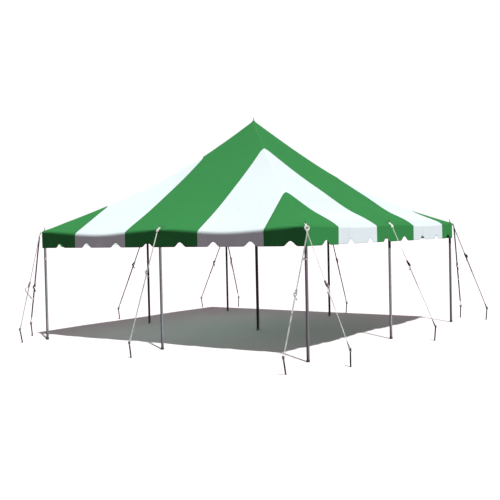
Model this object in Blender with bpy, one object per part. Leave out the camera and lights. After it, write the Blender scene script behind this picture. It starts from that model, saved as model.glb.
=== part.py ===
"""A square pole marquee tent with a striped canopy, its poles, stakes and guy straps.

The origin is on the ground under the centre pole. +Z is up, the front side faces -Y and the
right side faces +X. Sizes are in metres. A place on one of the four sides is given as across,
which runs to the right as seen from outside, and out, the distance from the centre pole.
"""

import math

import bmesh
import bpy
from mathutils import Vector

# The frame of poles
BAY = 3.048                  # from the centre pole's line to a side pole's line, ten feet
GROMMET_HEIGHT = 2.187       # top of the canopy where it sits on a side pole
PEAK_HEIGHT = 4.395
SIDE_POLE_RADIUS = 0.0255
CENTRE_POLE_RADIUS = 0.030
SPIKE_RADIUS = 0.006
SPIKE_ABOVE_CANOPY = 0.066
POLE_FOOT_HEIGHT = 0.035

# The canopy
SHEET = 0.004                # upright thickness of the roof sheet
VALANCE_SHEET = 0.004
EDGE = 0.045                 # the eave stands this far outside the poles
FOLD = (0.055, 0.022)        # width and drop of the rounded fold at the eave, at a pole
POLE_REACH = 0.40            # how far along the eave a pole shapes the fold
GAP = 0.00015                # each piece stops this short of a seam or a hip
PEAK_HOLE = 0.014            # half width of the hole for the centre pole's spike
GROMMET_HOLE_RADIUS = 0.0085
VALANCE_BOTTOM = 1.843
NOTCH_HEIGHT = 0.085
NOTCH_HALF_WIDTH = 0.140
NOTCHES = 8

# The four sides, and the corner at the right-hand end of each as seen from outside
SIDES = ("front", "right", "back", "left")
CORNERS = ("front_right", "back_right", "back_left", "front_left")

# How far the cloth hangs below a straight line from the peak to the poles, half-way down,
# and how much more it hangs above that than below it
HIP_SAG = {
    "front_right": (0.157, 0.014),
    "back_right": (0.303, 0.000),
    "back_left": (0.260, 0.012),
    "front_left": (0.238, 0.026),
}
MIDDLE_SAG = {
    "front": (0.149, 0.008),
    "right": (0.146, 0.002),
    "back": (0.149, 0.008),
    "left": (0.146, 0.002),
}
# The eave hangs lower, or rises a little, and stands further out half-way between two poles,
# where the cloth also scoops just inside it
EAVE_DIP = {"front": 0.042, "right": -0.020, "back": 0.042, "left": -0.020}
EAVE_BULGE = {"front": 0.040, "right": 0.070, "back": 0.040, "left": 0.070}
EAVE_SCOOP = {"front": 0.006, "right": 0.040, "back": 0.006, "left": 0.040}
EAVE_FOLD = {
    "front": (0.085, 0.045),
    "right": (0.055, 0.022),
    "back": (0.085, 0.045),
    "left": (0.055, 0.022),
}

# Where the colours meet, as shares of a half side: down each hip, and along each eave
MITRES = {
    "front_right": (0.235, 0.670),
    "back_right": (0.400, 0.784),
    "back_left": (0.300, 0.730),
    "front_left": (0.234, 0.693),
}
EAVE_SEAMS = {
    "front": (-0.690, -0.260, 0.300, 0.750),
    "right": (-0.700, -0.220, 0.300, 0.800),
    "back": (-0.790, -0.340, 0.270, 0.740),
    "left": (-0.740, -0.280, 0.250, 0.710),
}
NOTCH_SHIFT = {"front": 0.12, "right": 0.16, "back": 0.0, "left": 0.0}

# Stakes: where each enters the ground, and how far its head leans away from the tent
STAKES = {
    "front": (0.16, -4.04, 0.045),
    "right": (3.87, 0.11, 0.025),
    "back": (0.06, 3.77, 0.040),
    "left": (-4.40, 0.42, 0.060),
    "front_right_front": (3.34, -4.17, 0.110),
    "front_right_right": (3.86, -3.15, 0.000),
    "back_right_back": (2.91, 3.98, 0.050),
    "back_right_right": (3.58, 3.77, 0.030),
    "back_left_back": (-3.50, 4.16, 0.040),
    "back_left_left": (-4.35, 3.64, 0.080),
    "front_left_front": (-3.16, -3.59, 0.050),
    "front_left_left": (-3.81, -2.79, 0.070),
}
STAKE_RADIUS = 0.0125
STAKE_HEIGHT = 0.285
STAKE_HEAD_RADIUS = 0.019
STAKE_HEAD_HEIGHT = 0.010

# Guy straps
STRAP_WIDTH = 0.024
STRAP_THICKNESS = 0.004
RING_RADIUS = 0.016          # ring over a side pole's spike, to the middle of its wire
CORNER_RING_RADIUS = 0.034
WIRE_RADIUS = 0.004
LOOP_RADIUS = 0.022          # loop round a stake, to the middle of its wire
LOOP_BELOW_HEAD = 0.022
BUCKLE = (0.034, 0.110, 0.026)   # across the strap, along it, and through it
BUCKLE_SHARE = {
    "front": 0.36, "right": 0.36, "back": 0.42, "left": 0.40,
    "front_right_front": 0.50, "front_right_right": 0.44,
    "back_right_back": 0.46, "back_right_right": 0.34,
    "back_left_back": 0.40, "back_left_left": 0.44,
    "front_left_front": 0.52, "front_left_left": 0.56,
}

# Colour, roughness and metallic value of each finish
FINISHES = {
    "green_vinyl": ((0.060, 0.340, 0.095), 0.45, 0.0),
    "white_vinyl": ((0.880, 0.900, 0.900), 0.45, 0.0),
    "galvanised_steel": ((0.480, 0.510, 0.540), 0.40, 1.0),
    "stake_steel": ((0.060, 0.062, 0.068), 0.55, 0.6),
    "white_webbing": ((0.780, 0.780, 0.760), 0.80, 0.0),
}


def clear_scene():
    """Empty the file of every object."""
    for thing in list(bpy.data.objects):
        bpy.data.objects.remove(thing, do_unlink=True)


def make_finishes():
    """One material for each finish."""
    made = {}
    for name, (colour, roughness, metallic) in FINISHES.items():
        material = bpy.data.materials.new(name)
        material.use_nodes = True
        shader = material.node_tree.nodes["Principled BSDF"]
        shader.inputs["Base Color"].default_value = (*colour, 1.0)
        shader.inputs["Roughness"].default_value = roughness
        shader.inputs["Metallic"].default_value = metallic
        made[name] = material
    return made


def mix(start, end, share):
    """The value that lies share of the way from start to end."""
    return start + (end - start) * share


def smooth(share):
    """0 below 0, 1 above 1, and an even S curve between."""
    share = min(max(share, 0.0), 1.0)
    return share * share * (3 - 2 * share)


def plan(side, across, out):
    """The ground plan x and y of a place on a side."""
    turn = side * math.pi / 2
    return (
        across * math.cos(turn) + out * math.sin(turn),
        across * math.sin(turn) - out * math.cos(turn),
    )


def edge_out(side, across):
    """How far out the eave lies."""
    share = min(abs(across) / BAY, 1.0)
    return BAY + EDGE + EAVE_BULGE[SIDES[side]] * math.sin(math.pi * share) ** 2


def pole_distance(across):
    """0 at a pole of the eave, and 1 where the pole no longer shapes the fold."""
    nearest = min(abs(across), abs(abs(across) - BAY))
    return smooth(nearest / POLE_REACH)


def canopy_height(side, across, out):
    """The height of the canopy's upper face."""
    share = out / BAY
    lean = across / out
    name = SIDES[side]
    corner = CORNERS[side] if lean > 0 else CORNERS[side - 1]
    nearness = abs(lean) ** 1.5
    depth = mix(MIDDLE_SAG[name][0], HIP_SAG[corner][0], nearness)
    skew = mix(MIDDLE_SAG[name][1], HIP_SAG[corner][1], nearness)
    turn = math.pi * min(share, 1.0)
    sag = depth * math.sin(turn) + skew * math.sin(2 * turn)
    between = math.sin(math.pi * min(abs(lean), 1.0))
    dip = EAVE_DIP[name] * between ** 2 * smooth((share - 0.55) / 0.45)
    scoop = EAVE_SCOOP[name] * between * smooth((share - 0.62) / 0.22)
    scoop *= 1 - smooth((share - 0.84) / 0.14)
    height = mix(PEAK_HEIGHT, GROMMET_HEIGHT, share) - sag - dip - scoop
    inside = max(edge_out(side, across) - out, 0.0)
    away = pole_distance(across)
    fold, drop = (mix(near, far, away) for near, far in zip(FOLD, EAVE_FOLD[name]))
    if inside < fold:
        height -= drop * (1 - inside / fold) ** 2
    return height


def new_object(name, mesh, material):
    """Put a mesh in the scene under a name."""
    mesh.materials.append(material)
    thing = bpy.data.objects.new(name, mesh)
    bpy.context.scene.collection.objects.link(thing)
    return thing


class Surface:
    """An open surface seen from above, which becomes a thin closed sheet."""

    def __init__(self):
        self.points = []
        self.numbers = {}
        self.faces = []

    def point(self, side, across, out):
        """The number of a place on the canopy, the same for both sides of a hip."""
        x, y = plan(side, across, out)
        key = (round(x, 5), round(y, 5))
        if key not in self.numbers:
            self.numbers[key] = len(self.points)
            self.points.append((x, y, canopy_height(side, across, out)))
        return self.numbers[key]

    def panel(self, side, tops, feet, steps):
        """Fill from the tops, each (across, out), down to the feet along the eave."""
        columns = []
        for (top_across, top_out), foot in zip(tops, feet):
            foot_out = edge_out(side, foot)
            columns.append([
                self.point(side, mix(top_across, foot, step), mix(top_out, foot_out, step))
                for step in steps
            ])
        for left, right in zip(columns, columns[1:]):
            for row in range(len(steps) - 1):
                self.faces.append((left[row], left[row + 1], right[row + 1]))
                self.faces.append((left[row], right[row + 1], right[row]))
        self.faces = [face for face in self.faces if len(set(face)) == 3]

    def sheet(self, name, material):
        """Close the surface with a lower face and walls."""
        count = len(self.points)
        points = self.points + [(x, y, z - SHEET) for x, y, z in self.points]
        faces = list(self.faces)
        faces += [tuple(n + count for n in reversed(face)) for face in self.faces]
        edges = {(a, b) for face in self.faces for a, b in zip(face, face[1:] + face[:1])}
        for a, b in sorted(edges):
            if (b, a) not in edges:
                faces.append((a, a + count, b + count, b))
        mesh = bpy.data.meshes.new(name)
        mesh.from_pydata(points, [], faces)
        return new_object(name, mesh, material)


# How far down its length each row of a panel lies: even, then close together at the fold
PANEL_ROWS = [row / 9 * 0.97 for row in range(10)] + [0.985, 1.0]
CORNER_ROWS = [0.0, 0.3, 0.6, 0.86, 0.95, 1.0]


def hip_place(share, hand, gap=0.0):
    """A place on the hip at the left (-1) or right (1) end of a side, moved down by gap."""
    out = share * BAY + gap
    return (hand * out, out)


def side_samples(side):
    """Where the roof panels' columns meet the eave, from left to right."""
    far_left, left, right, far_right = (s * BAY for s in EAVE_SEAMS[SIDES[side]])
    end = BAY + EDGE
    stops = [
        (-end, far_left, 3),
        (far_left, left, 3),
        (left, right, 7),
        (right, far_right, 3),
        (far_right, end, 3),
    ]
    return [
        [mix(start, finish, step / steps) for step in range(steps + 1)]
        for start, finish, steps in stops
    ]


def squeeze(row):
    """Draw the two ends of a row of places in by the seam gap."""
    return [row[0] + GAP, *row[1:-1], row[-1] - GAP]


def centre_panel(side, materials):
    """The green panel from the peak to the middle of an eave."""
    left_mitre = MITRES[CORNERS[side - 1]][0]
    right_mitre = MITRES[CORNERS[side]][0]
    start = PEAK_HOLE / BAY
    tops = []
    for step in (3, 2, 1, 0):
        across, out = hip_place(mix(start, left_mitre, step / 3), -1)
        tops.append((across + 2 * GAP, out))
    for step in (0, 1, 2, 3):
        across, out = hip_place(mix(start, right_mitre, step / 3), 1)
        tops.append((across - 2 * GAP, out))
    surface = Surface()
    surface.panel(side, tops, squeeze(side_samples(side)[2]), PANEL_ROWS)
    return surface.sheet(f"centre_panel_{SIDES[side]}", materials["green_vinyl"])


def hip_panel(corner, materials):
    """The white panel that folds over a hip, between the two green ones."""
    upper, lower = MITRES[CORNERS[corner]]
    shares = [mix(upper, lower, step / 3) for step in range(4)]
    gaps = [3 * GAP, 0.0, 0.0, -3 * GAP]
    surface = Surface()
    right_of = [hip_place(share, 1, gap) for share, gap in zip(shares, gaps)]
    surface.panel(corner, right_of, squeeze(side_samples(corner)[3]), PANEL_ROWS)
    following = (corner + 1) % 4
    left_of = [hip_place(share, -1, gap) for share, gap in zip(shares, gaps)]
    left_of.reverse()
    surface.panel(following, left_of, squeeze(side_samples(following)[1]), PANEL_ROWS)
    return surface.sheet(f"hip_panel_{CORNERS[corner]}", materials["white_vinyl"])


def corner_panel(corner, materials):
    """The green panel at a corner of the eave."""
    lower = MITRES[CORNERS[corner]][1]
    end = (BAY + EDGE) / BAY
    shares = [mix(lower, end, step / 3) for step in range(4)]
    gaps = [3 * GAP, 0.0, 0.0, 0.0]
    surface = Surface()
    right_of = [hip_place(share, 1, gap) for share, gap in zip(shares, gaps)]
    feet = side_samples(corner)[4]
    surface.panel(corner, right_of, [feet[0] + GAP, *feet[1:]], CORNER_ROWS)
    following = (corner + 1) % 4
    left_of = [hip_place(share, -1, gap) for share, gap in zip(shares, gaps)]
    left_of.reverse()
    feet = side_samples(following)[0]
    surface.panel(following, left_of, [*feet[:-1], feet[-1] - GAP], CORNER_ROWS)
    return surface.sheet(f"corner_panel_{CORNERS[corner]}", materials["green_vinyl"])


def cut_hole(sheet, x, y, radius):
    """Punch a round hole for a pole's spike."""
    mesh = bpy.data.meshes.new(f"{sheet.name}_punch")
    shape = bmesh.new()
    bmesh.ops.create_cone(
        shape, cap_ends=True, segments=12, radius1=radius, radius2=radius, depth=0.4
    )
    shape.to_mesh(mesh)
    shape.free()
    punch = bpy.data.objects.new(mesh.name, mesh)
    bpy.context.scene.collection.objects.link(punch)
    punch.location = (x, y, GROMMET_HEIGHT)
    punch.hide_render = True
    punch.display_type = "WIRE"
    cut = sheet.modifiers.new("grommet hole", "BOOLEAN")
    cut.operation = "DIFFERENCE"
    cut.solver = "EXACT"
    cut.object = punch


def eave_line(side):
    """The roof panels' lower edge as (across, out, height) points."""
    row = sorted({round(across, 6) for part in side_samples(side) for across in part})
    return [
        (across, edge_out(side, across), canopy_height(side, across, edge_out(side, across)))
        for across in row
    ]


def on_line(line, across):
    """The out and height of the eave line at a place between two of its points."""
    for (a0, o0, h0), (a1, o1, h1) in zip(line, line[1:]):
        if across <= a1:
            share = (across - a0) / (a1 - a0)
            return mix(o0, o1, share), mix(h0, h1, share)
    return line[-1][1:]


def notch_places(side):
    """The middles of the rounded notches in a valance's lower edge."""
    pitch = 2 * BAY / NOTCHES
    first = -BAY + pitch / 2 + NOTCH_SHIFT[SIDES[side]]
    return [first + pitch * number for number in range(NOTCHES)]


def hem_height(side, across):
    """The height of a valance's lower edge, with its notches."""
    rise = 0.0
    for middle in notch_places(side):
        distance = abs(across - middle)
        if distance < NOTCH_HALF_WIDTH:
            rise = NOTCH_HEIGHT * (1 + math.cos(math.pi * distance / NOTCH_HALF_WIDTH)) / 2
    return VALANCE_BOTTOM + rise


def valance(side, materials):
    """The hanging strip below one eave, in the colours of the panels above it."""
    line = eave_line(side)
    end = BAY + EDGE
    steps = [share * NOTCH_HALF_WIDTH for share in (-1, -0.6, -0.25, 0.25, 0.6, 1)]
    notched = [middle + step for middle in notch_places(side) for step in steps]
    stops = {round(a, 5) for a in notched if abs(a) < end - 0.01}
    stops |= {round(a, 5) for a, _, _ in line[1:-1]}
    stops = sorted(stops)
    tidy = [stops[0]]
    for across in stops[1:]:
        if across - tidy[-1] > 0.008:
            tidy.append(across)
    points = []
    columns = []
    for across in [-end, *tidy, end]:
        out, top = on_line(line, across)
        corner = abs(across) == end
        drawn_in = math.copysign(2 * GAP, across) if corner else 0.0
        mitred = math.copysign(VALANCE_SHEET, across) if corner else 0.0
        outer = plan(side, across - drawn_in, out)
        inner = plan(side, across - drawn_in - mitred, out - VALANCE_SHEET)
        top -= SHEET + 0.001
        bottom = hem_height(side, across)
        columns.append(len(points))
        points += [(*outer, top), (*outer, bottom), (*inner, bottom), (*inner, top)]
    faces = [(0, 1, 2, 3)]
    for a, b in zip(columns, columns[1:]):
        for edge in range(4):
            following = (edge + 1) % 4
            faces.append((a + edge, b + edge, b + following, a + following))
    last = columns[-1]
    faces.append((last + 3, last + 2, last + 1, last))
    name = f"valance_{SIDES[side]}"
    mesh = bpy.data.meshes.new(name)
    mesh.from_pydata(points, [], faces)
    make_outward(mesh)
    return new_object(name, mesh, materials["white_vinyl"])


def make_outward(mesh):
    """Turn every face of a closed mesh outwards."""
    shape = bmesh.new()
    shape.from_mesh(mesh)
    bmesh.ops.recalc_face_normals(shape, faces=shape.faces)
    shape.to_mesh(mesh)
    shape.free()


def turned_mesh(name, profile, sides):
    """A solid turned about Z from (radius, height) points that run from axis to axis."""
    shape = bmesh.new()
    points = [shape.verts.new((radius, 0, height)) for radius, height in profile]
    lines = [shape.edges.new(pair) for pair in zip(points, points[1:])]
    bmesh.ops.spin(
        shape, geom=points + lines, cent=(0, 0, 0), axis=(0, 0, 1),
        angle=2 * math.pi, steps=sides, use_merge=True,
    )
    bmesh.ops.remove_doubles(shape, verts=shape.verts, dist=0.00005)
    bmesh.ops.recalc_face_normals(shape, faces=shape.faces)
    mesh = bpy.data.meshes.new(name)
    shape.to_mesh(mesh)
    shape.free()
    mesh.shade_smooth()
    mesh.set_sharp_from_angle(angle=math.radians(35))
    return mesh


def pole_profile(radius, shoulder, spike_top):
    """A tube with a foot plug, closed at the top, where a pin stands up through the canopy."""
    return [
        (0.0, 0.0),
        (radius + 0.0025, 0.0),
        (radius + 0.0025, POLE_FOOT_HEIGHT),
        (radius, POLE_FOOT_HEIGHT + 0.002),
        (radius, shoulder - 0.006),
        (radius - 0.005, shoulder),
        (SPIKE_RADIUS, shoulder + 0.002),
        (SPIKE_RADIUS, spike_top - 0.010),
        (0.0, spike_top),
    ]


def side_pole(name, x, y, materials):
    """One upright at the eave."""
    shoulder = GROMMET_HEIGHT - 0.052
    spike_top = GROMMET_HEIGHT + SPIKE_ABOVE_CANOPY
    mesh = turned_mesh(name, pole_profile(SIDE_POLE_RADIUS, shoulder, spike_top), 12)
    thing = new_object(name, mesh, materials["galvanised_steel"])
    thing.location = (x, y, 0)
    return thing


def centre_pole(materials):
    """The tall pole under the peak."""
    shoulder = PEAK_HEIGHT - 0.045
    spike_top = PEAK_HEIGHT + SPIKE_ABOVE_CANOPY
    mesh = turned_mesh("centre_pole", pole_profile(CENTRE_POLE_RADIUS, shoulder, spike_top), 16)
    return new_object("centre_pole", mesh, materials["galvanised_steel"])


def pole_of(place):
    """The ground plan of the pole that a stake's guy runs to."""
    for number, corner in enumerate(CORNERS):
        if place.startswith(corner):
            return Vector(plan(number, BAY, BAY))
    return Vector(plan(SIDES.index(place), 0, BAY))


def away_from_pole(place):
    """The level direction from a pole to its stake."""
    return (Vector(STAKES[place][:2]) - pole_of(place)).normalized()


def stake(place, materials):
    """A headed steel stake, from the ground up, leaning away from the tent."""
    top = STAKE_HEIGHT
    under_head = top - STAKE_HEAD_HEIGHT
    profile = [
        (0.0, 0.0),
        (STAKE_RADIUS, 0.0),
        (STAKE_RADIUS, under_head - 0.003),
        (STAKE_HEAD_RADIUS, under_head),
        (STAKE_HEAD_RADIUS, top - 0.003),
        (STAKE_HEAD_RADIUS - 0.005, top),
        (0.0, top),
    ]
    mesh = turned_mesh(f"stake_{place}", profile, 8)
    away = away_from_pole(place)
    x, y, lean = STAKES[place]
    for vertex in mesh.vertices:
        aside = lean * vertex.co.z / STAKE_HEIGHT
        vertex.co.x += away.x * aside
        vertex.co.y += away.y * aside
    thing = new_object(mesh.name, mesh, materials["stake_steel"])
    thing.location = (x, y, 0)
    return thing


def flat_strap(points, width, thickness):
    """A mesh for a flat strap along points, its width level and square to its run."""
    shape = bmesh.new()
    rings = []
    for number, point in enumerate(points):
        before = points[max(number - 1, 0)]
        after = points[min(number + 1, len(points) - 1)]
        along = (after - before).normalized()
        run = points[-1] - points[0]
        wide = Vector((run.y, -run.x, 0)).normalized()
        through = wide.cross(along).normalized()
        corners = [(1, 1), (-1, 1), (-1, -1), (1, -1)]
        rings.append([
            shape.verts.new(point + wide * (width / 2 * a) + through * (thickness / 2 * b))
            for a, b in corners
        ])
    for start, finish in zip(rings, rings[1:]):
        for edge in range(4):
            following = (edge + 1) % 4
            shape.faces.new(
                [start[edge], start[following], finish[following], finish[edge]]
            )
    shape.faces.new(rings[0])
    shape.faces.new(reversed(rings[-1]))
    bmesh.ops.recalc_face_normals(shape, faces=shape.faces)
    mesh = bpy.data.meshes.new("strap")
    shape.to_mesh(mesh)
    shape.free()
    return mesh


def wire_ring(centre, normal, radius, wire, around=8, section=5):
    """A mesh for a closed ring of round wire."""
    turn = Vector(normal).normalized().to_track_quat("Z", "Y").to_matrix()
    shape = bmesh.new()
    rings = []
    for step in range(around):
        angle = 2 * math.pi * step / around
        outward = Vector((math.cos(angle), math.sin(angle), 0))
        ring = []
        for part in range(section):
            tilt = 2 * math.pi * part / section
            place = outward * (radius + wire * math.cos(tilt))
            place += Vector((0, 0, wire * math.sin(tilt)))
            ring.append(shape.verts.new(turn @ place + Vector(centre)))
        rings.append(ring)
    for step in range(around):
        ring = rings[step]
        following = rings[(step + 1) % around]
        for part in range(section):
            nearby = (part + 1) % section
            shape.faces.new([ring[part], following[part], following[nearby], ring[nearby]])
    bmesh.ops.recalc_face_normals(shape, faces=shape.faces)
    mesh = bpy.data.meshes.new("ring")
    shape.to_mesh(mesh)
    shape.free()
    return mesh


def buckle_block(centre, along):
    """A mesh for the body of a ratchet buckle on a strap."""
    wide = Vector((along.y, -along.x, 0)).normalized()
    through = wide.cross(along).normalized()
    shape = bmesh.new()
    bmesh.ops.create_cube(shape, size=1.0)
    for vertex in shape.verts:
        x, y, z = vertex.co
        vertex.co = (
            centre + wide * (x * BUCKLE[0]) + along * (y * BUCKLE[1]) + through * (z * BUCKLE[2])
        )
    bmesh.ops.recalc_face_normals(shape, faces=shape.faces)
    mesh = bpy.data.meshes.new("buckle")
    shape.to_mesh(mesh)
    shape.free()
    return mesh


def in_triangles(mesh):
    """Split every face into triangles, so that no face is twisted."""
    shape = bmesh.new()
    shape.from_mesh(mesh)
    bmesh.ops.triangulate(shape, faces=shape.faces)
    shape.to_mesh(mesh)
    shape.free()


def fused(name, meshes, material):
    """One object that is the union of several closed meshes."""
    for mesh in meshes:
        in_triangles(mesh)
    whole = new_object(name, meshes[0], material)
    for number, mesh in enumerate(meshes[1:]):
        piece = bpy.data.objects.new(f"{name}_piece_{number}", mesh)
        bpy.context.scene.collection.objects.link(piece)
        piece.hide_render = True
        piece.display_type = "WIRE"
        join = whole.modifiers.new(f"joined {number}", "BOOLEAN")
        join.operation = "UNION"
        join.solver = "EXACT"
        join.object = piece
    return whole


def loop_centre(place):
    """The middle of the loop round a stake, just below its head."""
    height = STAKE_HEIGHT - STAKE_HEAD_HEIGHT - LOOP_BELOW_HEAD
    x, y, lean = STAKES[place]
    middle = Vector((x, y)) + away_from_pole(place) * (lean * height / STAKE_HEIGHT)
    return Vector((*middle, height))


def guy_run(place, start):
    """The meshes of one strap from start to its stake: strap, buckle and loop."""
    centre = loop_centre(place)
    level = Vector((centre.x - start.x, centre.y - start.y, 0)).normalized()
    end = centre - level * LOOP_RADIUS
    along = (end - start).normalized()
    buckle = start + (end - start) * BUCKLE_SHARE[place]
    return [
        flat_strap([start - along * 0.004, end + along * 0.002], STRAP_WIDTH, STRAP_THICKNESS),
        buckle_block(buckle, along),
        wire_ring(centre, (0, 0, 1), LOOP_RADIUS, WIRE_RADIUS),
    ]


def height_over(x, y):
    """The canopy's height over a ground plan place near the eave."""
    for side in range(4):
        turn = side * math.pi / 2
        across = x * math.cos(turn) + y * math.sin(turn)
        out = x * math.sin(turn) - y * math.cos(turn)
        if out >= abs(across) - 0.000001:
            return canopy_height(side, across, out)
    return GROMMET_HEIGHT


def ring_on_slope(pole, inward, radius):
    """The middle and the normal of a ring that lies on the canopy round a spike."""
    step = 0.03
    rise = (height_over(*(pole + inward * step)) - height_over(*pole)) / step
    normal = Vector((-inward.x * rise, -inward.y * rise, 1)).normalized()
    lift = 0.0
    for reach in (radius - WIRE_RADIUS, radius + WIRE_RADIUS):
        for turn in range(16):
            angle = 2 * math.pi * turn / 16
            place = Vector((math.cos(angle), math.sin(angle))) * reach
            level = height_over(*pole) + place.dot(inward) * rise
            lift = max(lift, height_over(*(pole + place)) - level)
    height = height_over(*pole) + lift + WIRE_RADIUS * 1.3 + 0.0015
    return Vector((pole.x, pole.y, height)), normal


def over_the_eave(ring, normal, radius, direction, reach):
    """Points of a strap that runs on the canopy from a pole's ring out past the eave."""
    lift = STRAP_THICKNESS / 2 + 0.0025
    level = Vector((direction.x, direction.y, 0))
    along = (level - normal * level.dot(normal)).normalized()
    points = [ring + along * radius]
    start = (points[0] - ring).xy.length / reach
    for share in (mix(start, 1, 0.4), mix(start, 1, 0.75), 1.0):
        place = ring.xy + direction * (reach * share)
        points.append(Vector((place.x, place.y, height_over(place.x, place.y) + lift)))
    beyond = ring.xy + direction * (reach + 0.012)
    points.append(Vector((beyond.x, beyond.y, points[-1].z - 0.014)))
    return points


def middle_guy(side, materials):
    """The single guy at the middle of a side."""
    place = SIDES[side]
    pole = pole_of(place)
    outward = Vector(plan(side, 0, 1))
    ring, normal = ring_on_slope(pole, -outward, RING_RADIUS)
    tab = over_the_eave(ring, normal, RING_RADIUS, outward, EDGE + 0.008)
    meshes = [
        flat_strap(tab, STRAP_WIDTH * 1.6, STRAP_THICKNESS),
        wire_ring(ring, normal, RING_RADIUS, WIRE_RADIUS),
    ]
    meshes += guy_run(place, tab[-1])
    return fused(f"guy_{place}", meshes, materials["white_webbing"])


def corner_guys(corner, materials):
    """The pair of guys at a corner, which share one ring over the pole's spike."""
    name = CORNERS[corner]
    pole = pole_of(name)
    direction = pole.normalized()
    reach = (EDGE + 0.008) * math.sqrt(2) + STRAP_WIDTH * 0.6
    ring, normal = ring_on_slope(pole, -direction, CORNER_RING_RADIUS)
    tab = over_the_eave(ring, normal, CORNER_RING_RADIUS, direction, reach)
    link = tab[-1] + Vector((direction.x * 0.012, direction.y * 0.012, -0.060))
    meshes = [
        flat_strap([*tab, link], STRAP_WIDTH * 1.2, STRAP_THICKNESS),
        wire_ring(ring, normal, CORNER_RING_RADIUS, WIRE_RADIUS, around=12),
    ]
    for side in (SIDES[corner], SIDES[(corner + 1) % 4]):
        meshes += guy_run(f"{name}_{side}", link)
    return fused(f"guys_{name}", meshes, materials["white_webbing"])


def build():
    """Model the whole tent."""
    clear_scene()
    materials = make_finishes()
    centre_pole(materials)
    for side, name in enumerate(SIDES):
        corner = CORNERS[side]
        middle = plan(side, 0, BAY)
        corner_place = plan(side, BAY, BAY)
        side_pole(f"side_pole_{name}", *middle, materials)
        side_pole(f"corner_pole_{corner}", *corner_place, materials)
        cut_hole(centre_panel(side, materials), *middle, GROMMET_HOLE_RADIUS)
        hip_panel(side, materials)
        cut_hole(corner_panel(side, materials), *corner_place, GROMMET_HOLE_RADIUS)
        valance(side, materials)
        middle_guy(side, materials)
        corner_guys(side, materials)
    for place in STAKES:
        stake(place, materials)


build()
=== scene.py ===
"""Dresses the marquee tent: cloth, straps, fittings, finishes, floor, light and camera.

Sizes are in metres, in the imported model's frame. A place on one of the four sides is given as
across, which runs to the right as seen from outside, and out, the distance from the middle.
"""

import math
from itertools import accumulate

import bpy
from mathutils import Matrix, Vector, noise
from mathutils.bvhtree import BVHTree


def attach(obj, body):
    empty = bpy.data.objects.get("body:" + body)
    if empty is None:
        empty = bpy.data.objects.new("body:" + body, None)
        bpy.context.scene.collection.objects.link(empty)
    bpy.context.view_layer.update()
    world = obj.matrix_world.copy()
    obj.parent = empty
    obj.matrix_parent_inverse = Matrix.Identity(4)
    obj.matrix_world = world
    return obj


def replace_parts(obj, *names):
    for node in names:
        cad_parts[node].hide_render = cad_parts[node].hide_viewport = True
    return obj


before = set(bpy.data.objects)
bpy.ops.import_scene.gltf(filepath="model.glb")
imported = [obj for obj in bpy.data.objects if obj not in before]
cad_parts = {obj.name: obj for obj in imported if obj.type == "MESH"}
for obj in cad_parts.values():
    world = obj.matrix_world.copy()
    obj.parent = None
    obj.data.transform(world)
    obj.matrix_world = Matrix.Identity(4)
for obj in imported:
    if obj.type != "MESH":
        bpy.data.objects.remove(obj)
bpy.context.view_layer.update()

# The same sizes as in the solids
BAY = 3.048
GROMMET_HEIGHT = 2.187
PEAK_HEIGHT = 4.395
SIDE_POLE_RADIUS = 0.0255
EDGE = 0.045
PEAK_HOLE = 0.014
VALANCE_BOTTOM = 1.843
NOTCH_HEIGHT = 0.085
NOTCH_HALF_WIDTH = 0.140
NOTCHES = 8
STAKE_HEIGHT = 0.285
STAKE_HEAD_HEIGHT = 0.010
LOOP_BELOW_HEAD = 0.022

SIDES = ("front", "right", "back", "left")
CORNERS = ("front_right", "back_right", "back_left", "front_left")

# The roof's form. Hips and mitres are in the order of CORNERS. A pair of values is for the front
# and back sides, then for the right and left ones. Places along a hip or an eave are in bays.
HIP_SAG = ((0.157, 0.014), (0.303, 0.000), (0.260, 0.012), (0.238, 0.026))
MIDDLE_SAG = ((0.149, 0.008), (0.146, 0.002))
MITRES = ((0.235, 0.670), (0.400, 0.784), (0.300, 0.730), (0.234, 0.693))
EAVE_SEAMS = (
    (-0.690, -0.260, 0.300, 0.750), (-0.700, -0.220, 0.300, 0.800),
    (-0.790, -0.340, 0.270, 0.740), (-0.740, -0.280, 0.250, 0.710),
)
EAVE_DIP = (0.042, -0.020)
EAVE_BULGE = (0.040, 0.070)
EAVE_SCOOP = (0.006, 0.040)
EAVE_ROLL = (0.078, 0.036)      # radius of the eave's rounded shoulder between two poles
POLE_ROLL = 0.028               # and at a pole
POLE_REACH = 0.40
ROLL_START = 0.42               # the shoulder's first slope, in radians
NOTCH_SHIFT = (0.12, 0.16, 0.0, 0.0)

# Each stake's x, y and lean, and how far down its guy the buckle and the ring come
STAKES = {
    "front": (0.16, -4.04, 0.045, 0.36, 0.61),
    "right": (3.87, 0.11, 0.025, 0.36, 0.57),
    "back": (0.06, 3.77, 0.040, 0.42, 0.63),
    "left": (-4.40, 0.42, 0.060, 0.40, 0.62),
    "front_right_front": (3.34, -4.17, 0.110, 0.50, 0.665),
    "front_right_right": (3.86, -3.15, 0.000, 0.44, 0.58),
    "back_right_back": (2.91, 3.98, 0.050, 0.46, 0.64),
    "back_right_right": (3.58, 3.77, 0.030, 0.34, 0.55),
    "back_left_back": (-3.50, 4.16, 0.040, 0.40, 0.60),
    "back_left_left": (-4.35, 3.64, 0.080, 0.44, 0.62),
    "front_left_front": (-3.16, -3.59, 0.050, 0.52, 0.68),
    "front_left_left": (-3.81, -2.79, 0.070, 0.56, 0.70),
}

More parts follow.
